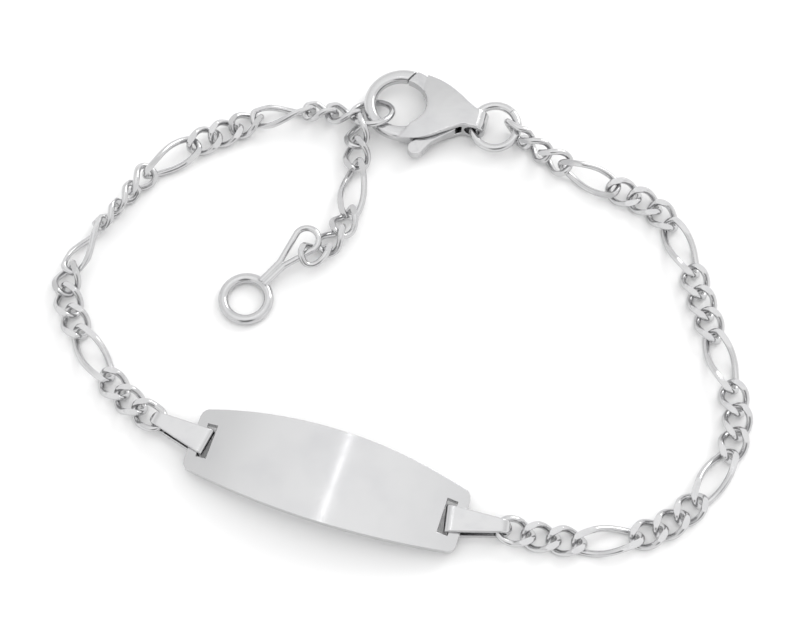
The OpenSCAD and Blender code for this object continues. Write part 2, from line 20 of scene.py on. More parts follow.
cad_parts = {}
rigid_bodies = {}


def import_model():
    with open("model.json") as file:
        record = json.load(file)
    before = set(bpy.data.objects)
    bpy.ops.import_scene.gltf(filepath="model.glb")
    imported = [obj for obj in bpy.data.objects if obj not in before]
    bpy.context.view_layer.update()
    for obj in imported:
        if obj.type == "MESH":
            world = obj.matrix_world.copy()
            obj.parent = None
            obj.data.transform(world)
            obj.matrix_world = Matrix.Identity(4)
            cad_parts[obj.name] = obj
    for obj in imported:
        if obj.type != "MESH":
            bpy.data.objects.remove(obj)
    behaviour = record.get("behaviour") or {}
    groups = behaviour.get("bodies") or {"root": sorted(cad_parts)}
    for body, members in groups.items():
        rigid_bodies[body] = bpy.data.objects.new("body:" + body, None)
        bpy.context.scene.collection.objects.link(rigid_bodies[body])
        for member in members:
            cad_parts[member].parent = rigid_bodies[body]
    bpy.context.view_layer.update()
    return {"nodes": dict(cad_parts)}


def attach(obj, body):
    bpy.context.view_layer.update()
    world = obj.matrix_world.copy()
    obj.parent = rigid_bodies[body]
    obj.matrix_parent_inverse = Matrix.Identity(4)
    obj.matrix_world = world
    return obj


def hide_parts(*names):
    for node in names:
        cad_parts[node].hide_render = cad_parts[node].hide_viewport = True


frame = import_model()

log = logging.getLogger("bracelet")

BENCH_SCALE = 1000.0
MERGE_DISTANCE = 0.0005
RIM_ANGLE = 42.0
POLISH_FACTOR = 0.5

Point3 = tuple[float, float, float]
RoutePoint = tuple[float, float, float, float]
Wire = tuple[bpy.types.Node, str | int, bpy.types.Node, str | int]


class Body(Enum):
    """The two bodies that pieces ride on."""

    BRACELET = "bracelet"
    LEVER = "lever"


class Slot(Enum):
    """The record's material slots."""

    PLATE = "plate_silver"
    BAIL = "bail_silver"
    CHAIN = "chain_silver"
    CLASP = "clasp_silver"
    RIVET = "rivet_silver"
    LEVER = "lever_silver"
    RING = "ring_silver"


class LinkKind(Enum):
    """The four links in the chains; the value is the place that the laying tree picks."""

    SHORT = 0
    LONG = 1
    IN_BAIL = 2
    IN_JUMP_RING = 3


def wire_up(links: bpy.types.NodeLinks, wires: tuple[Wire, ...]) -> None:
    """Joins the sockets of a node tree.

    Args:
        links: The tree's links.
        wires: Giving node and socket, then taking node and socket, for each link.
    """
    for giver, output, taker, taken in wires:
        links.new(giver.outputs[output], taker.inputs[taken])


def add_node(nodes: bpy.types.Nodes, kind: str, values: dict[str | int, object]) -> bpy.types.Node:
    """Adds a node to a tree and sets its inputs.

    Args:
        nodes: The tree's nodes.
        kind: The node's type.
        values: A value for each input that isn't left as it is.

    Returns:
        The node.
    """
    node = nodes.new(kind)
    for socket, value in values.items():
        node.inputs[socket].default_value = value
    return node


def new_tree(name: str, inputs: dict[str, str], output: str) -> bpy.types.GeometryNodeTree:
    """Starts a Geometry Nodes tree with named sockets.

    Args:
        name: Name of the tree.
        inputs: Name and kind of each input.
        output: Name of the geometry that it gives.

    Returns:
        The tree, with no nodes yet.
    """
    tree = bpy.data.node_groups.new(name, "GeometryNodeTree")
    for socket, kind in inputs.items():
        tree.interface.new_socket(socket, in_out="INPUT", socket_type=f"NodeSocket{kind}")
    tree.interface.new_socket(output, in_out="OUTPUT", socket_type="NodeSocketGeometry")
    return tree


@dataclass(frozen=True)
class SilverFinish:
    """Polished silver with a fine grain, faint wiping marks and a little unevenness.

    Attributes:
        name: Name of the material.
        tone: Colour of the bare metal.
        shade: Colour of its slightly duller patches.
        roughness: Roughness of the polished parts.
        wear: How much rougher the worn parts are.
        grain: Size of the fine grain, in metres.
        patch: Size of the duller patches, in metres.
        marks: Length of the wiping marks, in metres.
        turn: Direction of the marks in plan, in degrees.
        relief: Depth of the unevenness, in metres.
        marks_stretch: How many times longer than wide a wiping mark is.
        dull_range: Noise values between which the metal turns duller.
        worn_range: Noise values between which it turns rougher.
        bump_share: How strongly the unevenness shows.
    """

    name: str
    tone: Point3 = (0.57, 0.57, 0.575)
    shade: Point3 = (0.53, 0.53, 0.54)
    roughness: float = 0.12
    wear: float = 0.1
    grain: float = 0.00012
    patch: float = 0.0015
    marks: float = 0.003
    turn: float = 0.0
    relief: float = 0.000002
    marks_stretch: float = 24.0
    dull_range: tuple[float, float] = (0.45, 0.75)
    worn_range: tuple[float, float] = (0.35, 0.75)
    bump_share: float = 0.5

    def material(self) -> bpy.types.Material:
        """Builds the material.

        Returns:
            The finished material.
        """
        material = bpy.data.materials.new(self.name)
        material.use_nodes = True
        nodes, links = material.node_tree.nodes, material.node_tree.links
        shader = nodes["Principled BSDF"]
        shader.inputs["Metallic"].default_value = 1.0
        coordinates = nodes.new("ShaderNodeTexCoord")

        def noise(size: float, stretch: float, detail: float) -> bpy.types.NodeSocket:
            """Adds a noise pattern of one size, stretched along the marks.

            Args:
                size: Size of the pattern, in metres.
                stretch: How many times longer than wide it is.
                detail: Noise detail.

            Returns:
                The noise value's socket.
            """
            mapping = add_node(nodes, "ShaderNodeMapping", {
                "Rotation": (0.0, 0.0, -math.radians(self.turn)),
                "Scale": (1.0 / stretch, 1.0, 1.0),
            })
            texture = add_node(nodes, "ShaderNodeTexNoise", {"Scale": 1.0 / size, "Detail": detail})
            links.new(coordinates.outputs["Object"], mapping.inputs["Vector"])
            links.new(mapping.outputs["Vector"], texture.inputs["Vector"])
            return texture.outputs["Fac"]

        patches = noise(self.patch, 1.0, 3.0)
        wiping = noise(self.marks / self.marks_stretch, self.marks_stretch, 4.0)
        grain = noise(self.grain, 1.0, 2.0)

        colour = nodes.new("ShaderNodeMix")
        colour.data_type = "RGBA"
        colour.inputs["A"].default_value = (*self.tone, 1.0)
        colour.inputs["B"].default_value = (*self.shade, 1.0)
        dull = add_node(nodes, "ShaderNodeMapRange", {
            "From Min": self.dull_range[0], "From Max": self.dull_range[1],
        })
        links.new(patches, dull.inputs["Value"])
        links.new(dull.outputs["Result"], colour.inputs["Factor"])
        links.new(colour.outputs["Result"], shader.inputs["Base Color"])

        rough = add_node(nodes, "ShaderNodeMapRange", {
            "From Min": self.worn_range[0], "From Max": self.worn_range[1],
            "To Min": self.roughness, "To Max": self.roughness + self.wear,
        })
        links.new(wiping, rough.inputs["Value"])
        links.new(rough.outputs["Result"], shader.inputs["Roughness"])

        uneven = nodes.new("ShaderNodeMath")
        uneven.operation = "ADD"
        links.new(wiping, uneven.inputs[0])
        links.new(grain, uneven.inputs[1])
        bump = add_node(nodes, "ShaderNodeBump", {
            "Strength": self.bump_share, "Distance": self.relief,
        })
        links.new(uneven.outputs["Value"], bump.inputs["Height"])
        links.new(bump.outputs["Normal"], shader.inputs["Normal"])
        return material


@dataclass
class Shape:
    """Corners and faces of a mesh in the making.

    Attributes:
        corners: One row of x, y and z for each corner.
        faces: Corner numbers of each face.
    """

    corners: np.ndarray
    faces: list[tuple[int, ...]]

    def moved(self, matrix: Matrix) -> "Shape":
        """Places the shape.

        Args:
            matrix: Where it goes.

        Returns:
            The placed shape.
        """
        m = np.array(matrix)
        return Shape(self.corners @ m[:3, :3].T + m[:3, 3], self.faces)

    def joined(self, other: "Shape") -> "Shape":
        """Puts two shapes in one mesh.

        Args:
            other: The shape to add.

        Returns:
            Both together.
        """
        start = len(self.corners)
        added = [tuple(start + c for c in face) for face in other.faces]
        return Shape(np.vstack([self.corners, other.corners]), self.faces + added)

    def mesh(self, name: str) -> bpy.types.Mesh:
        """Makes a closed mesh with its faces outwards.

        Args:
            name: Name of the mesh.

        Returns:
            The mesh.
        """
        mesh = bpy.data.meshes.new(name)
        mesh.from_pydata(self.corners.tolist(), [], self.faces)
        return faced_outwards(mesh)


def faced_outwards(mesh: bpy.types.Mesh) -> bpy.types.Mesh:
    """Turns all faces of a closed mesh outwards.

    Args:
        mesh: The mesh, changed in place.

    Returns:
        The same mesh.
    """
    work = bmesh.new()
    work.from_mesh(mesh)
    bmesh.ops.recalc_face_normals(work, faces=work.faces)
    work.to_mesh(mesh)
    work.free()
    mesh.update()
    return mesh


def piece_from(mesh: bpy.types.Mesh, name: str) -> bpy.types.Object:
    """Puts a mesh in the scene.

    Args:
        mesh: The mesh.
        name: Name of the piece.

    Returns:
        The new object, at the origin.
    """
    piece = bpy.data.objects.new(name, mesh)
    bpy.context.scene.collection.objects.link(piece)
    return piece


def evaluated_mesh(piece: bpy.types.Object) -> bpy.types.Mesh:
    """Turns a piece and its modifiers into one plain mesh.

    Args:
        piece: The piece; its modifiers are taken off.

    Returns:
        The plain mesh.
    """
    bpy.context.view_layer.update()
    graph = bpy.context.evaluated_depsgraph_get()
    mesh = bpy.data.meshes.new_from_object(
        piece.evaluated_get(graph), preserve_all_data_layers=True, depsgraph=graph
    )
    piece.modifiers.clear()
    return mesh


def smoothed_edges(mesh: bpy.types.Mesh, sharp_above: float) -> None:
    """Shades a mesh smooth, with its corners above an angle kept crisp.

    Args:
        mesh: The mesh.
        sharp_above: The angle, in degrees.
    """
    mesh.shade_smooth()
    mesh.set_sharp_from_angle(angle=math.radians(sharp_above))


def bevelled(piece: bpy.types.Object, width: float, segments: int) -> None:
    """Rounds the rims of a piece and shades it smooth.

    Args:
        piece: The piece, changed in place.
        width: Width of the round, in metres.
        segments: Faces across it.
    """
    piece.data.shade_smooth()
    bevel = piece.modifiers.new("rim", "BEVEL")
    bevel.width = width
    bevel.segments = segments
    bevel.limit_method = "ANGLE"
    bevel.angle_limit = math.radians(RIM_ANGLE)
    bevel.harden_normals = True
    piece.data = evaluated_mesh(piece)


def bench_copy(node: str) -> bpy.types.Mesh:
    """Copies a CAD node's mesh at bench scale, with its loose triangles merged.

    Args:
        node: Name of the CAD node.

    Returns:
        The copy, in millimetres.
    """
    mesh = frame["nodes"][node].data.copy()
    mesh.transform(Matrix.Scale(BENCH_SCALE, 4))
    work = bmesh.new()
    work.from_mesh(mesh)
    bmesh.ops.remove_doubles(work, verts=work.verts, dist=MERGE_DISTANCE)
    work.to_mesh(mesh)
    work.free()
    mesh.materials.clear()
    return mesh


def cast_mesh(mesh: bpy.types.Mesh, grid: float, rounds: int) -> bpy.types.Mesh:
    """Gives a bench-scale mesh the soft corners and fillets of a polished casting.

    Args:
        mesh: A closed mesh in millimetres.
        grid: Size of its new facets, in millimetres.
        rounds: How often it is smoothed.

    Returns:
        The new mesh, in metres.
    """
    piece = piece_from(mesh, "casting")
    remesh = piece.modifiers.new("facets", "REMESH")
    remesh.mode = "VOXEL"
    remesh.voxel_size = grid
    remesh.use_smooth_shade = True
    smooth = piece.modifiers.new("polish", "SMOOTH")
    smooth.factor = POLISH_FACTOR
    smooth.iterations = rounds
    cast = evaluated_mesh(piece)
    bpy.data.objects.remove(piece)
    cast.transform(Matrix.Scale(1.0 / BENCH_SCALE, 4))
    cast.shade_smooth()
    return cast


def flat_tube(line: np.ndarray, radius: float, sides: int, closed: bool) -> Shape:
    """Sweeps round wire along a line that lies in the XY plane.

    Args:
        line: The line's points.
        radius: Radius of the wire.
        sides: Facets round the wire.
        closed: Whether the line's end meets its start.

    Returns:
        The wire, with flat ends where it is open.
    """
    ahead, behind = np.roll(line, -1, 0) - line, line - np.roll(line, 1, 0)
    if not closed:
        ahead[-1], behind[0] = behind[-1], ahead[0]
    along = ahead / np.linalg.norm(ahead, axis=1)[:, None]
    along += behind / np.linalg.norm(behind, axis=1)[:, None]
    along /= np.linalg.norm(along, axis=1)[:, None]
    side = np.cross((0.0, 0.0, 1.0), along)
    turn = np.arange(sides) * 2.0 * np.pi / sides
    ring = np.cos(turn)[None, :, None] * side[:, None] + np.sin(turn)[None, :, None] * (0.0, 0.0, 1.0)
    corners = (line[:, None] + radius * ring).reshape(-1, 3)
    count = len(line)
    faces = [
        (i * sides + k, i * sides + (k + 1) % sides,
         (i + 1) % count * sides + (k + 1) % sides, (i + 1) % count * sides + k)
        for i in range(count if closed else count - 1) for k in range(sides)
    ]
    if not closed:
        faces.append(tuple(range(sides)))
        faces.append(tuple(range((count - 1) * sides, count * sides)))
    return Shape(corners, faces)


def circle_line(radius: float, start: float, end: float, steps: int) -> np.ndarray:
    """Points on a circle round the origin.

    Args:
        radius: Its radius.
        start: Angle of the first point, in degrees.
        end: Angle just past the last one for a whole circle, or of the last one.
        steps: How many steps lie between.

    Returns:
        The points.
    """
    whole = end - start >= 360.0
    turn = np.radians(start + (end - start) * np.arange(steps + (not whole)) / steps)
    return np.stack([radius * np.cos(turn), radius * np.sin(turn), np.zeros(len(turn))], 1)


@dataclass(frozen=True)
class Fitting:
    """How a finished piece joins the frame.

    Attributes:
        nodes: The CAD nodes that it stands for.
        slot: The record's material slot for its finish; not used.
        body: The body that it rides on.
    """

    nodes: tuple[str, ...]
    slot: Slot
    body: Body = Body.BRACELET

    def join(self, piece: bpy.types.Object, material: bpy.types.Material) -> None:
        """Dresses a piece and fastens it to its body.

        Args:
            piece: The finished piece.
            material: Its finish.
        """
        piece.data.materials.clear()
        piece.data.materials.append(material)
        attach(piece, self.body.value)
        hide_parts(*self.nodes)
        log.info("%s: %d faces on %s", piece.name, len(piece.data.polygons), self.body.value)


@dataclass
class IdPlate:
    """The plain plate: a barrel-shaped sheet bent to the wrist, with a slot at each end.

    Attributes:
        length: Its length in plan.
        width: Its width across the middle.
        end_width: Its width at the two ends.
        thickness: Thickness of the sheet.
        rise: How high its middle stands above its ends.
        foot: Height of its ends above the surface.
        corner: Radius of its four corners.
        bar: Width of the bar between slot and end.
        slot_length: Length of a slot along the plate.
        slot_width: Width of a slot across the plate.
        middle: Its middle in plan.
        turn: Its turn in plan, in degrees.
        rim: Width of the softened rim.
        corner_turns: Angles at which a corner's facets meet, in degrees.
        finish: Its finish.
    """

    length: float = 0.021
    width: float = 0.007
    end_width: float = 0.0046
    thickness: float = 0.0007
    rise: float = 0.0015
    foot: float = 0.00049
    corner: float = 0.0007
    bar: float = 0.0008
    slot_length: float = 0.000806
    slot_width: float = 0.002641
    middle: tuple[float, float] = (-0.005115, -0.014514)
    turn: float = -18.0
    rim: float = 0.00004
    corner_turns: tuple[int, ...] = (0, 20, 40, 60, 90)
    finish: SilverFinish = SilverFinish(
        "rolled_silver", roughness=0.09, wear=0.05, grain=0.00009, patch=0.004, marks=0.005,
        turn=-24.0, relief=0.0000007,
    )

    def bend_radius(self) -> float:
        """Radius of the plate's inner face."""
        return (self.length ** 2 / 4 + self.rise ** 2) / (2 * self.rise)

    def edge(self, x: float) -> float:
        """Half the plate's width at a distance from its middle.

        Args:
            x: The distance along the plate.

        Returns:
            Half the width there.
        """
        drop = (self.width - self.end_width) / 2
        barrel = (self.length ** 2 / 4 + drop ** 2) / (2 * drop)
        straight = self.length / 2 - self.corner
        inner = min(abs(x), straight)
        past = abs(x) - inner
        side = self.width / 2 - barrel + math.sqrt(barrel ** 2 - inner ** 2)
        return side - self.corner + math.sqrt(max(self.corner ** 2 - past ** 2, 0.0))

    def stations(self) -> list[float]:
        """Places along the plate where its facets meet, with the slots' edges among them."""
        half, straight = self.length / 2, self.length / 2 - self.corner
        slot_outer = half - self.bar
        slot_inner = slot_outer - self.slot_length
        middle = np.linspace(0.0, slot_inner, 38).tolist()
        beside = np.linspace(slot_inner, slot_outer, 6).tolist()
        corner = [straight + self.corner * math.sin(math.radians(a)) for a in self.corner_turns]
        right = sorted({round(x, 9) for x in middle + beside + corner})
        return [-x for x in reversed(right[1:])] + right

    def shape(self) -> Shape:
        """Builds the plate in its own axes, with its slots open.

        Returns:
            The bent plate.
        """
        across = np.linspace(-1.0, 1.0, 9).tolist()
        outer = [0.2, 0.4, 0.6, 0.8, 1.0]
        slot_half = self.slot_width / 2
        places = self.stations()
        radius = self.bend_radius()
        centre = self.foot + self.rise - radius
        rows = []
        for x in places:
            edge = self.edge(x)
            band = [slot_half + (edge - slot_half) * share for share in outer]
            rows.append([-y for y in reversed(band)] + [slot_half * a for a in across] + band)
        count = len(rows[0])
        flat = [(x, y) for x, row in zip(places, rows) for y in row]
        under = [(x, y, centre + math.sqrt(radius ** 2 - x * x)) for x, y in flat]
        over = [(x, y, centre + math.sqrt((radius + self.thickness) ** 2 - x * x)) for x, y in flat]
        slot_outer = self.length / 2 - self.bar
        slot_inner = slot_outer - self.slot_length
        cells = set()
        for i in range(len(places) - 1):
            for k in range(count - 1):
                x = abs(places[i] + places[i + 1]) / 2
                y = abs(rows[i][k] + rows[i][k + 1]) / 2
                if not (slot_inner < x < slot_outer and y < slot_half):
                    cells.add((i, k))
        half = len(flat)
        faces: list[tuple[int, ...]] = []
        for i, k in sorted(cells):
            a, b = i * count + k, (i + 1) * count + k
            c, d = b + 1, a + 1
            faces.append((half + a, half + b, half + c, half + d))
            faces.append((d, c, b, a))
            sides = {(0, -1): (a, b), (1, 0): (b, c), (0, 1): (c, d), (-1, 0): (d, a)}
            for step, (p, q) in sides.items():
                if (i + step[0], k + step[1]) not in cells:
                    faces.append((p, q, half + q, half + p))
        used = sorted({c for face in faces for c in face})
        number = {c: n for n, c in enumerate(used)}
        corners = np.array(under + over)[used]
        return Shape(corners, [tuple(number[c] for c in face) for face in faces])

    def build(self) -> None:
        """Makes the plate and fastens it."""
        place = (Matrix.Translation((*self.middle, 0.0))
                 @ Matrix.Rotation(math.radians(self.turn), 4, "Z"))
        piece = piece_from(self.shape().moved(place).mesh("plate_sheet"), "plate_sheet")
        bevelled(piece, self.rim, 3)
        Fitting(("id_plate",), Slot.PLATE).join(piece, self.finish.material())


@dataclass
class Bail:
    """A strap folded through a slot of the plate and tapered to a rounded chain end.

    Attributes:
        side: The side of the bracelet that it is on.
        bar_middle: Middle of the plate's end bar in plan.
        turn: Its turn in plan, in degrees.
        back: How far its fold lies behind the end bar's middle.
        length: Its length.
        height: Its height over both runs of the strap.
        wide: Its width at the fold.
        narrow: Its width at the chain end.
        strap: Thickness of the strap.
        fold: Corner radius of the fold.
        rim: Width of the softened rim.
        least_fold: Least corner radius inside the fold.
        blunt: Width left at the very end, as a share of the narrow width.
        finish: Its finish.
    """

    side: str
    bar_middle: tuple[float, float]
    turn: float
    back: float = 0.000983
    length: float = 0.00495
    height: float = 0.001864
    wide: float = 0.0021
    narrow: float = 0.00095
    strap: float = 0.00036
    fold: float = 0.00045
    rim: float = 0.00009
    least_fold: float = 0.00009
    blunt: float = 0.28
    finish: SilverFinish = field(default_factory=lambda: SilverFinish(
        "folded_silver", roughness=0.1, wear=0.08, patch=0.001, marks=0.002, turn=-20.0))

    def profile(self, inset: float) -> np.ndarray:
        """Side view of the strap's loop at a depth below its outer face.

        Args:
            inset: The depth.

        Returns:
            Points of x and height, the same number for every depth.
        """
        radius = max(self.fold - inset, self.least_fold)
        nose = self.height / 2
        top, foot = self.height - inset, inset
        reach = self.length - nose
        points: list[tuple[float, float]] = []
        for a in np.linspace(180.0, 270.0, 9):
            points.append((inset + radius + radius * math.cos(math.radians(a)),
                           foot + radius + radius * math.sin(math.radians(a))))
        points += [(x, foot) for x in np.linspace(points[-1][0], reach, 12)[1:-1]]
        for a in np.linspace(-90.0, 90.0, 31):
            points.append((reach + (nose - inset) * math.cos(math.radians(a)),
                           nose + (nose - inset) * math.sin(math.radians(a))))
        points += [(x, top) for x in np.linspace(reach, inset + radius, 12)[1:-1]]
        for a in np.linspace(90.0, 180.0, 9):
            points.append((inset + radius + radius * math.cos(math.radians(a)),
                           top - radius + radius * math.sin(math.radians(a))))
        points += [(inset, z) for z in np.linspace(top - radius, foot + radius, 5)[1:-1]]
        return np.array(points)

    def half_width(self, x: float) -> float:
        """Half the strap's width at a distance from its fold.

        Args:
            x: The distance.

        Returns:
            Half the width, rounded in plan towards the chain end.
        """
        nose = self.narrow / 2
        start = self.length - nose
        if x <= start:
            return self.wide / 2 + (nose - self.wide / 2) * max(x, 0.0) / start
        share = min((x - start) / nose, 1.0)
        return nose * max(math.sqrt(1.0 - share ** 2), self.blunt)

    def shape(self) -> Shape:
        """Builds the loop along +X.

        Returns:
            The folded strap.
        """
        outer, inner = self.profile(0.0), self.profile(self.strap)
        corners = []
        for (xo, zo), (xi, zi) in zip(outer, inner):
            wo, wi = self.half_width(xo), self.half_width(xi)
            corners += [(xo, -wo, zo), (xo, wo, zo), (xi, wi, zi), (xi, -wi, zi)]
        count = len(outer)
        faces = [
            (i * 4 + k, i * 4 + (k + 1) % 4, (i + 1) % count * 4 + (k + 1) % 4, (i + 1) % count * 4 + k)
            for i in range(count) for k in range(4)
        ]
        return Shape(np.array(corners), faces)

    def build(self) -> None:
        """Makes the bail and fastens it."""
        place = (Matrix.Translation((*self.bar_middle, 0.0))
                 @ Matrix.Rotation(math.radians(self.turn), 4, "Z")
                 @ Matrix.Translation((-self.back, 0.0, 0.0)))
        name = f"{self.side}_bail_strap"
        piece = piece_from(self.shape().moved(place).mesh(name), name)
        bevelled(piece, self.rim, 3)
        Fitting((f"bail_{self.side}",), Slot.BAIL).join(piece, self.finish.material())


@dataclass(frozen=True)
class LinkShape:
    """A twisted link that lies along +X, with its middle at the origin.

    Attributes:
        inner: Its inside length.
        back_twist: Turn of its -X end out of its middle plane, in degrees.
        front_twist: Turn of its +X end, in degrees.
        wire: Diameter of its wire.
        width: Its outside width.
        short_inner: Inside length of a short link, which gives the round of the ends.
        roundness: How full the ends are; 1 is an ellipse.
        steps: Points round the link.
    """

    inner: float
    back_twist: float = 50.0
    front_twist: float = 50.0
    wire: float = 0.0005
    width: float = 0.00232
    short_inner: float = 0.00206
    roundness: float = 0.8
    steps: int = 80

    def line(self) -> np.ndarray:
        """Middle line of the wire.

        Returns:
            Points round the link.
        """
        turn = (np.arange(self.steps) + 0.5) * 2.0 * np.pi / self.steps
        c, s = np.cos(turn), np.sin(turn)
        half, end = (self.inner + self.wire) / 2, (self.short_inner + self.wire) / 2
        x = end * np.sign(c) * np.abs(c) ** self.roundness
        x += (half - end) * np.sign(c) * (1.0 - (1.0 - np.abs(c)) ** 2)
        w = (self.width - self.wire) / 2 * np.sign(s) * np.abs(s) ** self.roundness
        u = x / half
        share = 0.5 * u + 0.5 * np.sin(np.pi / 2 * u)
        twist = np.radians(-np.where(u < 0, self.back_twist, self.front_twist) * share)
        return np.stack([x, w * np.cos(twist), w * np.sin(twist)], 1)


@dataclass
class LinkMaker:
    """Sweeps wire along a link's line and grinds both its faces flat.

    Attributes:
        wire: Diameter of the wire, in millimetres.
        sides: Facets round the wire.
        ground: Thickness that a link is ground to, in millimetres.
        slab: Side of the slab that grinds it, wider than any link, in millimetres.
    """

    wire: float = 0.5
    sides: int = 18
    ground: float = 1.12
    slab: float = 20.0

    def tree(self) -> bpy.types.GeometryNodeTree:
        """Builds the tree that makes one link from its line.

        Returns:
            The tree, with sockets Line, Wire Diameter, Wire Sides and Ground Thickness.
        """
        inputs = {"Line": "Geometry", "Wire Diameter": "Float", "Wire Sides": "Int",
                  "Ground Thickness": "Float"}
        tree = new_tree("ground_link", inputs, "Link")
        nodes, links = tree.nodes, tree.links
        given, made = nodes.new("NodeGroupInput"), nodes.new("NodeGroupOutput")
        curve = nodes.new("GeometryNodeMeshToCurve")
        half = nodes.new("ShaderNodeMath")
        half.operation = "MULTIPLY"
        half.inputs[1].default_value = 0.5
        profile = nodes.new("GeometryNodeCurvePrimitiveCircle")
        sweep = nodes.new("GeometryNodeCurveToMesh")
        slab_size = add_node(nodes, "ShaderNodeCombineXYZ", {"X": self.slab, "Y": self.slab})
        slab = nodes.new("GeometryNodeMeshCube")
        grind = nodes.new("GeometryNodeMeshBoolean")
        grind.operation = "INTERSECT"
        wire_up(links, (
            (given, "Line", curve, "Mesh"),
            (given, "Wire Diameter", half, 0),
            (half, "Value", profile, "Radius"),
            (given, "Wire Sides", profile, "Resolution"),
            (curve, "Curve", sweep, "Curve"),
            (profile, "Curve", sweep, "Profile Curve"),
            (given, "Ground Thickness", slab_size, "Z"),
            (slab_size, "Vector", slab, "Size"),
            (sweep, "Mesh", grind, "Mesh 2"),
            (slab, "Mesh", grind, "Mesh 2"),
            (grind, "Mesh", made, "Link"),
        ))
        return tree

    def make(self, kind: LinkKind, shape: LinkShape,
             tree: bpy.types.GeometryNodeTree) -> bpy.types.Object:
        """Makes one link at bench scale.

        Args:
            kind: Which link it is.
            shape: Its line and size.
            tree: The tree that makes it.

        Returns:
            The link, in millimetres, in no collection.
        """
        line = shape.line() * BENCH_SCALE
        count = len(line)
        mesh = bpy.data.meshes.new("link_line")
        mesh.from_pydata(line.tolist(), [(i, (i + 1) % count) for i in range(count)], [])
        piece = piece_from(mesh, "link_line")
        modifier = piece.modifiers.new("wire", "NODES")
        modifier.node_group = tree
        set_inputs(modifier, {"Wire Diameter": self.wire, "Wire Sides": self.sides,
                              "Ground Thickness": self.ground})
        made = faced_outwards(evaluated_mesh(piece))
        bpy.data.objects.remove(piece)
        return bpy.data.objects.new(f"link_{kind.value}_{kind.name.lower()}", made)


def set_inputs(modifier: bpy.types.NodesModifier, values: dict[str, object]) -> None:
    """Sets a tree's named inputs on its modifier, each by its socket's identifier.

    Args:
        modifier: The modifier.
        values: A value for each input's name.
    """
    for item in modifier.node_group.interface.items_tree:
        if item.item_type == "SOCKET" and item.in_out == "INPUT" and item.name in values:
            modifier[item.identifier] = values[item.name]


@dataclass
class Chain:
    """One chain, laid along a route of round points.

    Attributes:
        name: Name of its piece.
        node: The CAD node that it stands for.
        route: Points of x, y, z and roll in degrees.
        skip: How many links of the pattern were used before it.
        first: Kind of its first link, where it differs from the pattern.
        last: Kind of its last link, where it differs from the pattern.
        slack: Free play of a link on the next one.
        shorts: Short links between two long ones.
        floor: Least height of a link above the surface.
    """

    name: str
    node: str
    route: tuple[RoutePoint, ...]
    skip: int = 0
    first: LinkKind | None = None
    last: LinkKind | None = None
    slack: float = 0.00016
    shorts: int = 3
    floor: float = 0.000005

    def kind(self, number: int) -> LinkKind:
        """Kind of a link by its place in the pattern."""
        return LinkKind.LONG if number % (self.shorts + 1) == self.shorts else LinkKind.SHORT

    def smooth_route(self) -> np.ndarray:
        """Draws a smooth curve through the route's points.

        Returns:
            Points of x, y, z and roll along the curve.
        """
        points = np.array(self.route)
        last = len(points) - 1
        drawn = []
        for i in range(last):
            a, b, c, d = points[max(i - 1, 0)], points[i], points[i + 1], points[min(i + 2, last)]
            for t in np.arange(10) / 10.0:
                drawn.append(0.5 * (2 * b + (c - a) * t + (2 * a - 5 * b + 4 * c - d) * t ** 2
                                    + (3 * b - a - 3 * c + d) * t ** 3))
        drawn.append(points[last])
        return np.array(drawn)

    def placed(self, shapes: dict[LinkKind, LinkShape]) -> list[tuple[LinkKind, Matrix]]:
        """Places each link along the route.

        Args:
            shapes: The links' shapes.

        Returns:
            Kind and place of each link.
        """
        curve = self.smooth_route()
        steps = np.linalg.norm(np.diff(curve[:, :3], axis=0), axis=1)
        run = np.concatenate([[0.0], np.cumsum(steps)])
        reaches: list[float] = []
        while True:
            reach = shapes[self.kind(len(reaches) + self.skip)].inner - self.slack
            if sum(reaches) + reach / 2 > run[-1]:
                break
            reaches.append(reach)
        joints = np.concatenate([[0.0], np.cumsum(reaches)]) * run[-1] / sum(reaches)

        def at(s: float) -> np.ndarray:
            """Point and roll at a distance along the route."""
            return np.array([np.interp(s, run, curve[:, c]) for c in range(4)])

        placed = []
        for i in range(len(reaches)):
            start, end = at(joints[i]), at(joints[i + 1])
            along = Vector(end[:3] - start[:3]).normalized()
            left = Vector((0.0, 0.0, 1.0)).cross(along).normalized()
            up = along.cross(left)
            roll = math.radians(at((joints[i] + joints[i + 1]) / 2)[3])
            across = left * math.cos(roll) + up * math.sin(roll)
            turn = Matrix((along, across, along.cross(across))).transposed().to_4x4()
            kind = self.kind(i + self.skip)
            if i == 0 and self.first:
                kind = self.first
            if i == len(reaches) - 1 and self.last:
                kind = self.last
            placed.append((kind, Matrix.Translation((start[:3] + end[:3]) / 2) @ turn))
        return placed


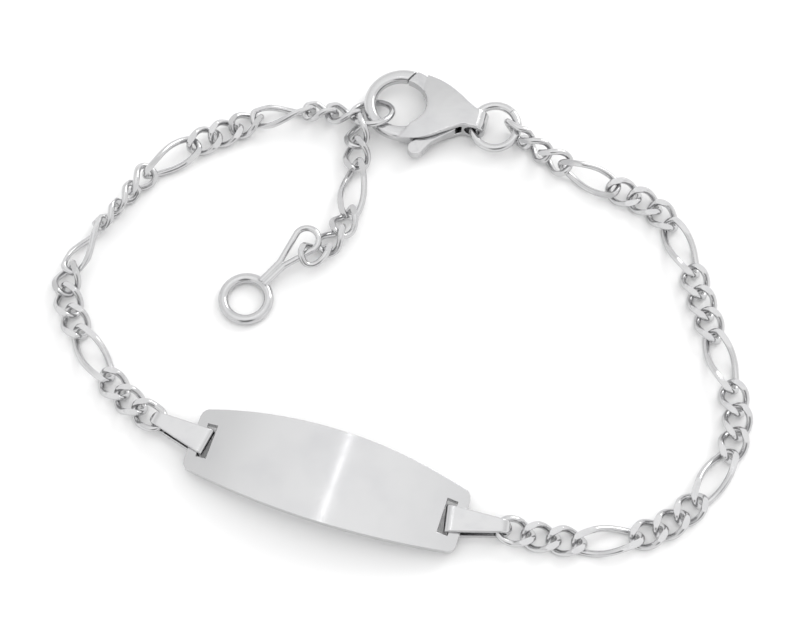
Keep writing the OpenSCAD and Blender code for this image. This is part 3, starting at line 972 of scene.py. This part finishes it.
@dataclass
class ChainWork:
    """The three chains, with the links that they share.

    Attributes:
        short_inner: Inside length of a short link.
        long_inner: Inside length of a long link.
        bail_twist: Twist of a link's end that lies in a bail, in degrees.
        ring_twist: Twist of a link's end that lies in the jump ring, in degrees.
        maker: What makes the links.
        sharp_above: Angle above which a link's edges stay crisp, in degrees.
        finish: Finish of all links.
    """

    short_inner: float = 0.00206
    long_inner: float = 0.00442
    bail_twist: float = 6.0
    ring_twist: float = 10.0
    maker: LinkMaker = field(default_factory=LinkMaker)
    sharp_above: float = 30.0
    finish: SilverFinish = field(default_factory=lambda: SilverFinish(
        "drawn_silver", roughness=0.14, wear=0.12, patch=0.0012, marks=0.0012, turn=35.0,
        relief=0.0000025))

    def shapes(self) -> dict[LinkKind, LinkShape]:
        """The shape of each kind of link."""
        return {
            LinkKind.SHORT: LinkShape(self.short_inner),
            LinkKind.LONG: LinkShape(self.long_inner, steps=104),
            LinkKind.IN_BAIL: LinkShape(self.short_inner, back_twist=self.bail_twist),
            LinkKind.IN_JUMP_RING: LinkShape(self.short_inner, front_twist=self.ring_twist),
        }

    def chains(self) -> tuple[Chain, ...]:
        """The routes of the three chains."""
        return (
            Chain("right_chain_links", "chain_right", (
                (0.007795, -0.018100, 0.000932, 0), (0.010485, -0.018714, 0.000630, 0),
                (0.015085, -0.019114, 0.000580, 0), (0.019985, -0.017714, 0.000580, 0),
                (0.023785, -0.013914, 0.000580, 0), (0.025585, -0.009714, 0.000580, 0),
                (0.024685, -0.005014, 0.000580, 0), (0.023485, -0.000014, 0.000580, 0),
                (0.022285, 0.004986, 0.000580, 0), (0.020285, 0.007986, 0.000608, -2),
                (0.018585, 0.008886, 0.000738, -12), (0.016885, 0.009586, 0.000906, -29),
                (0.014785, 0.010586, 0.001080, -50), (0.012385, 0.011986, 0.001151, -71),
                (0.010685, 0.013386, 0.001091, -89), (0.009138, 0.014952, 0.001257, -100),
            ), first=LinkKind.IN_BAIL, last=LinkKind.IN_JUMP_RING),
            Chain("left_chain_links", "chain_left", (
                (-0.017720, -0.009930, 0.000932, 0), (-0.020415, -0.008014, 0.000630, 0),
                (-0.023515, -0.004014, 0.000580, 0), (-0.025515, 0.000486, 0.000714, -10),
                (-0.025215, 0.002586, 0.000898, -28), (-0.023915, 0.005186, 0.001080, -50),
                (-0.021815, 0.007886, 0.001150, -73), (-0.020715, 0.009386, 0.001114, -95),
                (-0.019515, 0.010886, 0.001142, -117), (-0.016915, 0.012886, 0.001005, -139),
                (-0.014315, 0.014286, 0.000816, -161), (-0.012615, 0.015186, 0.000608, -182),
                (-0.010915, 0.015886, 0.000845, -202), (-0.008515, 0.016286, 0.000953, -216),
                (-0.006915, 0.016386, 0.000995, -220), (-0.005215, 0.016086, 0.001205, -221),
                (-0.003339, 0.016111, 0.000949, -214),
            ), first=LinkKind.IN_BAIL),
            Chain("extension_chain_links", "chain_extension", (
                (-0.002906, 0.015240, 0.001480, 57), (-0.003215, 0.013486, 0.001213, 37),
                (-0.003115, 0.011686, 0.000816, 19), (-0.003715, 0.007486, 0.000738, 12),
                (-0.004365, 0.005686, 0.001056, 29), (-0.005575, 0.004276, 0.000901, 26),
                (-0.007000, 0.003253, 0.001540, 7),
            ), skip=1),
        )

    def tree(self) -> bpy.types.GeometryNodeTree:
        """Builds the tree that lays links on points.

        Returns:
            The tree, with sockets Points, Links, Link Scale and Finish. The points carry
            kind, the number of their link, and turn, its rotation.
        """
        inputs = {"Points": "Geometry", "Links": "Collection", "Link Scale": "Float",
                  "Finish": "Material"}
        tree = new_tree("laid_chain", inputs, "Chain")
        nodes, links = tree.nodes, tree.links
        given, made = nodes.new("NodeGroupInput"), nodes.new("NodeGroupOutput")
        stock = add_node(nodes, "GeometryNodeCollectionInfo", {
            "Separate Children": True, "Reset Children": True,
        })
        kind = nodes.new("GeometryNodeInputNamedAttribute")
        kind.data_type = "INT"
        kind.inputs["Name"].default_value = "kind"
        turn = nodes.new("GeometryNodeInputNamedAttribute")
        turn.data_type = "QUATERNION"
        turn.inputs["Name"].default_value = "turn"
        lay = add_node(nodes, "GeometryNodeInstanceOnPoints", {"Pick Instance": True})
        realize = nodes.new("GeometryNodeRealizeInstances")
        dress = nodes.new("GeometryNodeSetMaterial")
        wire_up(links, (
            (given, "Points", lay, "Points"),
            (given, "Links", stock, "Collection"),
            (stock, "Instances", lay, "Instance"),
            (kind, "Attribute", lay, "Instance Index"),
            (turn, "Attribute", lay, "Rotation"),
            (given, "Link Scale", lay, "Scale"),
            (lay, "Instances", realize, "Geometry"),
            (realize, "Geometry", dress, "Geometry"),
            (given, "Finish", dress, "Material"),
            (dress, "Geometry", made, "Chain"),
        ))
        return tree

    def lay(self, chain: Chain, stock: bpy.types.Collection, tree: bpy.types.GeometryNodeTree,
            material: bpy.types.Material) -> bpy.types.Object:
        """Lays one chain.

        Args:
            chain: The chain.
            stock: The finished links, in the order of their kinds.
            tree: The tree that lays them.
            material: Their finish.

        Returns:
            The chain as one plain mesh.
        """
        forms = {
            kind: np.array([v.co for v in link.data.vertices]) / BENCH_SCALE
            for kind, link in zip(LinkKind, sorted(stock.objects, key=lambda o: o.name))
        }
        places, kinds, turns = [], [], []
        for kind, place in chain.placed(self.shapes()):
            low = (forms[kind] @ np.array(place)[2, :3]).min() + place.translation.z
            lift = max(chain.floor - low, 0.0)
            places.append(tuple(place.translation + Vector((0.0, 0.0, lift))))
            kinds.append(kind.value)
            turns.extend(place.to_quaternion())
        mesh = bpy.data.meshes.new(chain.name)
        mesh.from_pydata(places, [], [])
        mesh.attributes.new("kind", "INT", "POINT").data.foreach_set("value", kinds)
        mesh.attributes.new("turn", "QUATERNION", "POINT").data.foreach_set("value", turns)
        piece = piece_from(mesh, chain.name)
        modifier = piece.modifiers.new("links", "NODES")
        modifier.node_group = tree
        set_inputs(modifier, {"Links": stock, "Link Scale": 1.0 / BENCH_SCALE, "Finish": material})
        piece.data = evaluated_mesh(piece)
        smoothed_edges(piece.data, self.sharp_above)
        return piece

    def build(self) -> None:
        """Makes the links, lays the chains and fastens them."""
        stock = bpy.data.collections.new("link_stock")
        link_tree = self.maker.tree()
        for kind, shape in self.shapes().items():
            stock.objects.link(self.maker.make(kind, shape, link_tree))
        material = self.finish.material()
        laying_tree = self.tree()
        for chain in self.chains():
            piece = self.lay(chain, stock, laying_tree, material)
            Fitting((chain.node,), Slot.CHAIN).join(piece, material)
        for link in list(stock.objects):
            bpy.data.objects.remove(link)
        bpy.data.collections.remove(stock)


@dataclass
class LobsterClasp:
    """The cast clasp: hollow body with its hook, rivet and sprung lever.

    Attributes:
        body_grid: Facet size of the body, in millimetres.
        body_rounds: How often the body is smoothed.
        lever_grid: Facet size of the lever, in millimetres.
        lever_rounds: How often the lever is smoothed.
        body_finish: Finish of the body.
        lever_finish: Finish of the lever.
        rivet_finish: Finish of the rivet.
    """

    body_grid: float = 0.055
    body_rounds: int = 10
    lever_grid: float = 0.05
    lever_rounds: int = 5
    body_finish: SilverFinish = field(default_factory=lambda: SilverFinish(
        "cast_silver", roughness=0.13, wear=0.1, patch=0.002, marks=0.0025, turn=60.0,
        relief=0.000003))
    lever_finish: SilverFinish = field(default_factory=lambda: SilverFinish(
        "stamped_silver", shade=(0.5, 0.5, 0.51), roughness=0.18, wear=0.12, patch=0.0009,
        marks=0.0015, turn=-10.0))
    rivet_finish: SilverFinish = field(default_factory=lambda: SilverFinish(
        "turned_silver", roughness=0.16, patch=0.0005, marks=0.0006))

    def build(self) -> None:
        """Makes the clasp's pieces and fastens them."""
        body = piece_from(cast_mesh(bench_copy("clasp_body"), self.body_grid, self.body_rounds),
                          "clasp_casting")
        Fitting(("clasp_body",), Slot.CLASP).join(body, self.body_finish.material())
        lever = piece_from(cast_mesh(bench_copy("clasp_gate"), self.lever_grid, self.lever_rounds),
                           "clasp_lever")
        Fitting(("clasp_gate",), Slot.LEVER, Body.LEVER).join(lever, self.lever_finish.material())
        rivet = frame["nodes"]["clasp_rivet"]
        rivet.data.materials.clear()
        rivet.data.materials.append(self.rivet_finish.material())
        log.info("clasp_rivet: the frame's own solid, in its finish")


@dataclass
class WireRing:
    """A ring of round wire, closed or with a sawn seam.

    Attributes:
        name: Name of its piece.
        node: The CAD node that it stands for.
        middle_radius: Radius of the wire's middle line.
        wire: Diameter of the wire.
        place: Where it lies.
        seam: Half the seam's opening, in degrees.
        finish: Its finish.
    """

    name: str
    node: str
    middle_radius: float
    wire: float
    place: Matrix
    seam: float = 0.0
    finish: SilverFinish = field(default_factory=lambda: SilverFinish(
        "ring_wire_silver", roughness=0.09, wear=0.09, patch=0.0012, marks=0.001, turn=15.0))

    def build(self) -> None:
        """Makes the ring and fastens it."""
        line = circle_line(self.middle_radius, self.seam, 360.0 - self.seam, 128)
        shape = flat_tube(line, self.wire / 2, 36, self.seam == 0.0).moved(self.place)
        piece = piece_from(shape.mesh(self.name), self.name)
        smoothed_edges(piece.data, 40.0)
        Fitting((self.node,), Slot.RING).join(piece, self.finish.material())


@dataclass
class EndRing:
    """The end ring with its tear-shaped link soldered on.

    Attributes:
        middle: Middle of the ring.
        turn: Its turn in plan, in degrees.
        middle_radius: Radius of the ring's middle line.
        wire: Wire of the ring.
        tear_wire: Wire of the tear-shaped link.
        tear_width: Width of that link over its round loop.
        tear_length: Its length from the loop to the ring.
        tear_lift: How much its tip is raised, in degrees.
        tear_roll: Its roll, in degrees.
        grid: Facet size, in millimetres.
        rounds: How often the solder's fillets are smoothed.
        neck: Where its two wires meet, as a share of its length.
        neck_half: Half their distance there, as a share of the wire.
        solder_half: Half their distance at the solder, as a share of the wire.
        finish: Its finish.
    """

    middle: Point3 = (-0.011615, 0.000186, 0.0004)
    turn: float = 224.0
    middle_radius: float = 0.00175
    wire: float = 0.0008
    tear_wire: float = 0.0005
    tear_width: float = 0.0024
    tear_length: float = 0.006
    tear_lift: float = 9.95
    tear_roll: float = -5.0
    grid: float = 0.045
    rounds: int = 7
    neck: float = 0.65
    neck_half: float = 0.44
    solder_half: float = 0.4
    finish: SilverFinish = field(default_factory=lambda: SilverFinish(
        "soldered_silver", roughness=0.1, wear=0.1, patch=0.0012, marks=0.0012, turn=40.0,
        relief=0.0000025))

    def tear_line(self) -> np.ndarray:
        """Middle line of the tear-shaped link's upper half, from its tip to the solder.

        Returns:
            Points in the link's own plane.
        """
        loop = (self.tear_width - self.tear_wire) / 2
        neck = self.neck * self.tear_length
        tangent = math.degrees(math.acos(loop / (neck - loop - self.tear_wire / 2)))
        points = []
        for a in np.radians(np.linspace(180.0, tangent, 25)):
            points.append((loop + self.tear_wire / 2 + loop * math.cos(a), loop * math.sin(a), 0.0))
        points.append((neck, self.neck_half * self.tear_wire, 0.0))
        points.append((self.tear_length, self.solder_half * self.tear_wire, 0.0))
        return np.array(points)

    def build(self) -> None:
        """Makes the ring with its link as one soldered piece and fastens it."""
        ring = flat_tube(circle_line(self.middle_radius, 0.0, 360.0, 128), self.wire / 2, 40, True)
        start = self.tear_length + self.middle_radius
        hang = (Matrix.Rotation(math.radians(self.tear_lift), 4, "Y")
                @ Matrix.Rotation(math.radians(self.tear_roll), 4, "X")
                @ Matrix.Translation((-start, 0.0, 0.0)))
        for side in (1.0, -1.0):
            line = self.tear_line() * (1.0, side, 1.0)
            ring = ring.joined(flat_tube(line, self.tear_wire / 2, 28, False).moved(hang))
        place = (Matrix.Scale(BENCH_SCALE, 4) @ Matrix.Translation(self.middle)
                 @ Matrix.Rotation(math.radians(self.turn), 4, "Z"))
        mesh = ring.moved(place).mesh("end_ring_soldered")
        piece = piece_from(cast_mesh(mesh, self.grid, self.rounds), "end_ring_soldered")
        Fitting(("end_ring",), Slot.RING).join(piece, self.finish.material())


@dataclass(frozen=True)
class SoftLight:
    """A soft rectangular light.

    Attributes:
        name: Its name.
        place: Where it hangs.
        aim: The point that it faces.
        size: Its width and height.
        brightness: Brightness of its face.
        along: Direction of its height.
    """

    name: str
    place: Point3
    aim: Point3
    size: tuple[float, float]
    brightness: float
    along: Point3 = (0.0, 1.0, 0.0)

    def build(self) -> None:
        """Hangs the light."""
        light = bpy.data.lights.new(self.name, "AREA")
        light.shape = "RECTANGLE"
        light.size, light.size_y = self.size
        light.energy = self.brightness * math.pi * self.size[0] * self.size[1]
        hung = bpy.data.objects.new(self.name, light)
        back = (Vector(self.place) - Vector(self.aim)).normalized()
        side = Vector(self.along).cross(back).normalized()
        turn = Matrix((side, back.cross(side), back)).transposed().to_4x4()
        hung.matrix_world = Matrix.Translation(self.place) @ turn
        hung.visible_camera = False
        bpy.context.scene.collection.objects.link(hung)


@dataclass
class Studio:
    """Pale table, soft sky and lights, and the camera.

    Attributes:
        sky: Height of the sky as a share from horizon to zenith, with its brightness there.
        screen: Direction of the middle of the dark screen on the camera's side.
        screen_edge: Cosines from that direction between which the screen fades in.
        screen_tone: Share of the sky's brightness that the screen leaves.
        table_half: Half the table's side.
        table_drop: How far the table's face lies under the frame's zero height.
        table_tone: Brightness of the table.
        table_grain: Scale of the table's fine grain.
        table_relief: Depth of that grain.
        look_at: The point that the camera faces.
        camera_offset: Where the camera stands from that point.
        lens: Its focal length, in millimetres.
    """

    sky: tuple[tuple[float, float], ...] = (
        (0.0, 1.35), (0.25, 1.2), (0.5, 1.0), (0.75, 1.07), (0.9, 1.27), (1.0, 1.36),
    )
    screen: Point3 = (0.0, -0.82, 0.57)
    screen_edge: tuple[float, float] = (0.88, 0.97)
    screen_tone: float = 0.3
    table_half: float = 0.6
    table_drop: float = 0.00003
    table_tone: float = 0.97
    table_grain: float = 900.0
    table_relief: float = 0.000004
    look_at: Point3 = (0.000285, -0.001414, 0.0)
    camera_offset: Point3 = (0.0, -0.04495, 0.11126)
    lens: float = 70.04

    def lights(self) -> tuple[SoftLight, ...]:
        """The studio's lights."""
        return (
            SoftLight("key_light", (0.36, 0.36, 0.34), (0.0, 0.0, 0.0), (0.26, 0.26), 4.6),
            SoftLight("edge_strip", (-0.0053, 0.0386, 0.194), (-0.0051, -0.0145, 0.0027),
                      (0.0017, 0.06), 2.6, (0.31, 0.95, 0.0)),
        )

    def build_sky(self) -> None:
        """Makes the sky: brighter low down and overhead, with the dark screen in it."""
        world = bpy.data.worlds.new("studio_sky")
        world.use_nodes = True
        nodes, links = world.node_tree.nodes, world.node_tree.links
        direction = nodes.new("ShaderNodeTexCoord")
        height = nodes.new("ShaderNodeSeparateXYZ")
        ramp = nodes.new("ShaderNodeValToRGB")
        ramp.color_ramp.interpolation = "EASE"
        stops = ramp.color_ramp.elements
        while len(stops) < len(self.sky):
            stops.new(0.5)
        for stop, (place, tone) in zip(stops, self.sky):
            stop.position = place
            stop.color = (tone, tone, tone, 1.0)
        links.new(direction.outputs["Generated"], height.inputs["Vector"])
        links.new(height.outputs["Z"], ramp.inputs["Fac"])
        facing = nodes.new("ShaderNodeVectorMath")
        facing.operation = "DOT_PRODUCT"
        facing.inputs[1].default_value = self.screen
        dimmed = nodes.new("ShaderNodeMapRange")
        dimmed.interpolation_type = "SMOOTHSTEP"
        dimmed.inputs["From Min"].default_value = self.screen_edge[0]
        dimmed.inputs["From Max"].default_value = self.screen_edge[1]
        dimmed.inputs["To Min"].default_value = 1.0
        dimmed.inputs["To Max"].default_value = self.screen_tone
        links.new(direction.outputs["Generated"], facing.inputs[0])
        links.new(facing.outputs["Value"], dimmed.inputs["Value"])
        links.new(dimmed.outputs["Result"], nodes["Background"].inputs["Strength"])
        links.new(ramp.outputs["Color"], nodes["Background"].inputs["Color"])
        bpy.context.scene.world = world

    def build_table(self) -> None:
        """Makes the pale table."""
        h, z = self.table_half, -self.table_drop
        mesh = bpy.data.meshes.new("table")
        mesh.from_pydata([(-h, -h, z), (h, -h, z), (h, h, z), (-h, h, z)], [], [(0, 1, 2, 3)])
        table = piece_from(mesh, "table")
        material = bpy.data.materials.new("pale_table")
        material.use_nodes = True
        nodes, links = material.node_tree.nodes, material.node_tree.links
        shader = nodes["Principled BSDF"]
        shader.inputs["Base Color"].default_value = (self.table_tone,) * 3 + (1.0,)
        shader.inputs["Roughness"].default_value = 0.8
        shader.inputs["Specular IOR Level"].default_value = 0.2
        coordinates = nodes.new("ShaderNodeTexCoord")
        grain = add_node(nodes, "ShaderNodeTexNoise", {"Scale": self.table_grain})
        bump = add_node(nodes, "ShaderNodeBump", {"Distance": self.table_relief})
        wire_up(links, (
            (coordinates, "Object", grain, "Vector"),
            (grain, "Fac", bump, "Height"),
            (bump, "Normal", shader, "Normal"),
        ))
        table.data.materials.append(material)

    def build_camera(self) -> None:
        """Stands the camera where the photograph was taken from."""
        camera = bpy.data.cameras.new("camera")
        camera.lens = self.lens
        camera.sensor_width = 36.0
        camera.clip_start, camera.clip_end = 0.01, 5.0
        stand = bpy.data.objects.new("camera", camera)
        stand.location = Vector(self.look_at) + Vector(self.camera_offset)
        tilt = math.atan2(-self.camera_offset[1], self.camera_offset[2])
        stand.rotation_euler = (tilt, 0.0, 0.0)
        bpy.context.scene.collection.objects.link(stand)
        bpy.context.scene.camera = stand

    def build(self) -> None:
        """Sets up the studio."""
        self.build_sky()
        self.build_table()
        for light in self.lights():
            light.build()
        self.build_camera()
        bpy.context.scene.view_settings.view_transform = "Standard"
        log.info("studio: sky, table, %d lights and camera", len(self.lights()))


def jump_ring() -> WireRing:
    """The jump ring in the clasp's tail, leaning a little, with its sawn seam."""
    place = (Matrix.Translation((0.007914, 0.014834, 0.001177))
             @ Matrix.Rotation(math.radians(-14.5), 4, "Z")
             @ Matrix.Rotation(math.radians(-4.0), 4, "Y")
             @ Matrix.Rotation(math.radians(8.0), 4, "X")
             @ Matrix.Rotation(math.radians(54.0), 4, "Z"))
    return WireRing("jump_ring_wire", "clasp_jump_ring", 0.00182, 0.00066, place, seam=1.1)


def length_ring() -> WireRing:
    """The ring for the shorter length, tilted round the hook's arm."""
    place = (Matrix.Translation((-0.001955, 0.016166, 0.001068))
             @ Matrix.Rotation(math.radians(-79.0), 4, "Z")
             @ Matrix.Rotation(math.radians(-29.5), 4, "Y"))
    return WireRing("length_ring_wire", "length_ring", 0.00164, 0.0005, place)


def main() -> None:
    """Builds the bracelet's pieces in order, then the studio."""
    logging.basicConfig(level=logging.INFO, format="%(name)s: %(message)s")
    IdPlate().build()
    Bail("left", (-0.014721, -0.011393), 154.0).build()
    Bail("right", (0.004491, -0.017635), -8.0).build()
    ChainWork().build()
    LobsterClasp().build()
    jump_ring().build()
    length_ring().build()
    EndRing().build()
    Studio().build()


if __name__ == "__main__":
    main()
